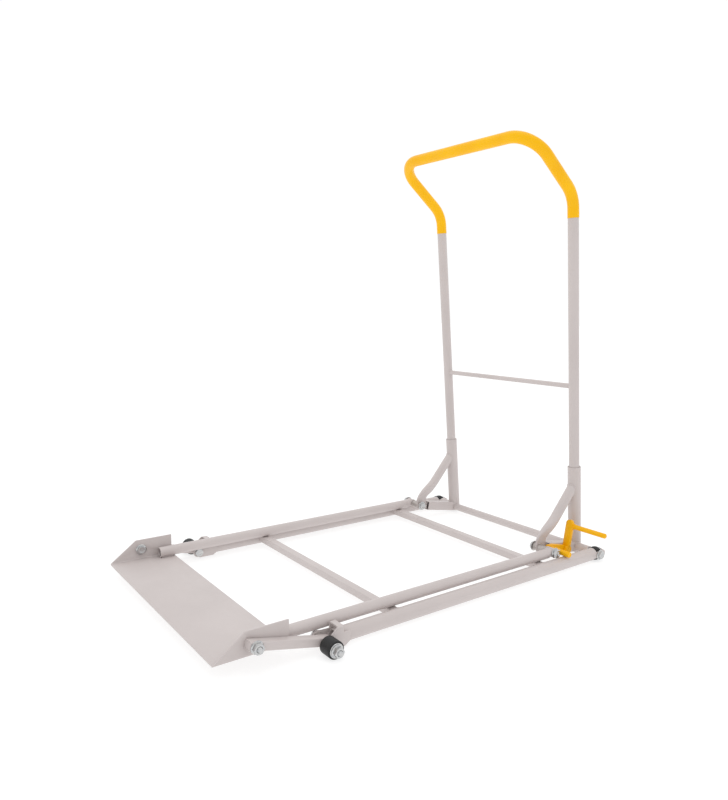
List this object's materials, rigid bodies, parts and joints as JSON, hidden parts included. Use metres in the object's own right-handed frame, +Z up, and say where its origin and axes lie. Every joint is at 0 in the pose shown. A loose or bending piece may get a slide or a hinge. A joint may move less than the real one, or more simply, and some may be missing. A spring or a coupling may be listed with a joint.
{
  "type": "sit-to-stand aid",
  "caption": "Low rolling frame with a lifting toe plate on load tubes, levered up by a tall leaning tube handle with a sleeved grip, and a foot pedal beside it.",
  "frame": {"origin": "on the floor, under the middle of the whole part's bounding box", "axes": "+Z up; +Y from the toe plate towards the handle, along the rails; +X across, towards the foot pedal"},
  "size_m": [0.688, 1.0402, 1.0009],
  "materials": {
    "grey_coat": "light warm grey gloss powder coat on steel",
    "yellow_coat": "yellow gloss powder coat on steel",
    "yellow_grip": "smooth yellow vinyl sleeve",
    "roller_polymer": "black moulded polymer, lightly scuffed",
    "zinc_plate": "bright zinc plate"
  },
  "bodies": {
    "base": {"crossbar_front": "grey_coat", "crossbar_rear": "grey_coat", "rail_left": "grey_coat", "axle_bracket_left": "grey_coat", "inner_cheek_left": "grey_coat", "front_axle_bolt_left": "zinc_plate", "front_axle_nut_left": "zinc_plate", "front_axle_washer_left": "zinc_plate", "front_link_washer_left": "zinc_plate", "front_link_spacer_left": "zinc_plate", "rear_axle_bolt_left": "zinc_plate", "rail_right": "grey_coat", "axle_bracket_right": "grey_coat", "inner_cheek_right": "grey_coat", "front_axle_bolt_right": "zinc_plate", "front_axle_nut_right": "zinc_plate", "front_axle_washer_right": "zinc_plate", "front_link_washer_right": "zinc_plate", "front_link_spacer_right": "zinc_plate", "rear_axle_bolt_right": "zinc_plate"},
    "handle_frame": {"rear_crossbar": "grey_coat", "handle_tube": "grey_coat", "handle_mid_bar": "grey_coat", "grip_sleeve": "yellow_grip", "pedal_pin": "zinc_plate", "bottom_bar_left": "grey_coat", "brace_left": "grey_coat", "sleeve_left": "grey_coat", "hinge_collar_left": "grey_coat", "rear_pivot_bolt_left": "zinc_plate", "rear_pivot_nut_left": "zinc_plate", "inner_spacer_left": "zinc_plate", "side_spacer_left": "zinc_plate", "bottom_bar_right": "grey_coat", "brace_right": "grey_coat", "sleeve_right": "grey_coat", "hinge_collar_right": "grey_coat", "rear_pivot_bolt_right": "zinc_plate", "rear_pivot_nut_right": "zinc_plate", "inner_spacer_right": "zinc_plate", "side_spacer_right": "zinc_plate"},
    "lift_frame": {"toe_plate": "grey_coat", "lift_tube_left": "grey_coat", "lift_bushing_left": "grey_coat", "front_pivot_bolt_left": "zinc_plate", "front_pivot_nut_left": "zinc_plate", "lift_tube_right": "grey_coat", "lift_bushing_right": "grey_coat", "front_pivot_bolt_right": "zinc_plate", "front_pivot_nut_right": "zinc_plate"},
    "front_link_left": {"front_link_left": "grey_coat"},
    "front_link_right": {"front_link_right": "grey_coat"},
    "foot_pedal": {"pedal_arm": "yellow_coat", "pedal_foot_rod": "yellow_coat", "pedal_hook": "yellow_coat", "pedal_stub": "yellow_coat"},
    "front_roller_left": {"front_roller_left": "roller_polymer"},
    "front_roller_right": {"front_roller_right": "roller_polymer"},
    "rear_roller_left": {"rear_roller_left": "roller_polymer"},
    "rear_roller_right": {"rear_roller_right": "roller_polymer"}
  },
  "joints": [
    {"name": "handle_pivot", "type": "hinge", "parent": "base", "child": "handle_frame", "pos_m": [0, 0.498, 0.017], "axis": [-1, 0, 0], "range_deg": [0, 25]},
    {"name": "lift_pivot", "type": "hinge", "parent": "handle_frame", "child": "lift_frame", "pos_m": [0, 0.359, 0.041], "axis": [-1, 0, 0], "range_deg": [-25.6, 0]},
    {"name": "front_link_left_pivot", "type": "hinge", "parent": "base", "child": "front_link_left", "pos_m": [0.28955, -0.313, 0.017], "axis": [-1, 0, 0], "range_deg": [0, 22.4]},
    {"name": "front_link_right_pivot", "type": "hinge", "parent": "base", "child": "front_link_right", "pos_m": [-0.28955, -0.313, 0.017], "axis": [-1, 0, 0], "range_deg": [0, 22.4]},
    {"name": "pedal_pivot", "type": "hinge", "parent": "handle_frame", "child": "foot_pedal", "pos_m": [0.2438, 0.43882, 0.02722], "axis": [-1, 0, 0], "range_deg": [0, 18]},
    {"name": "front_roller_left_axle", "type": "hinge", "parent": "base", "child": "front_roller_left", "pos_m": [0.3176, -0.313, 0.017], "axis": [-1, 0, 0], "continuous": true},
    {"name": "front_roller_right_axle", "type": "hinge", "parent": "base", "child": "front_roller_right", "pos_m": [-0.3176, -0.313, 0.017], "axis": [-1, 0, 0], "continuous": true},
    {"name": "rear_roller_left_axle", "type": "hinge", "parent": "base", "child": "rear_roller_left", "pos_m": [0.2862, 0.498, 0.017], "axis": [-1, 0, 0], "continuous": true},
    {"name": "rear_roller_right_axle", "type": "hinge", "parent": "base", "child": "rear_roller_right", "pos_m": [-0.2862, 0.498, 0.017], "axis": [-1, 0, 0], "continuous": true}
  ],
  "couplings": [
    {"joint": "lift_pivot", "follows": "handle_pivot", "ratio": -1.0201},
    {"joint": "front_link_left_pivot", "follows": "handle_pivot", "ratio": 0.8923},
    {"joint": "front_link_right_pivot", "follows": "handle_pivot", "ratio": 0.8923}
  ]
}
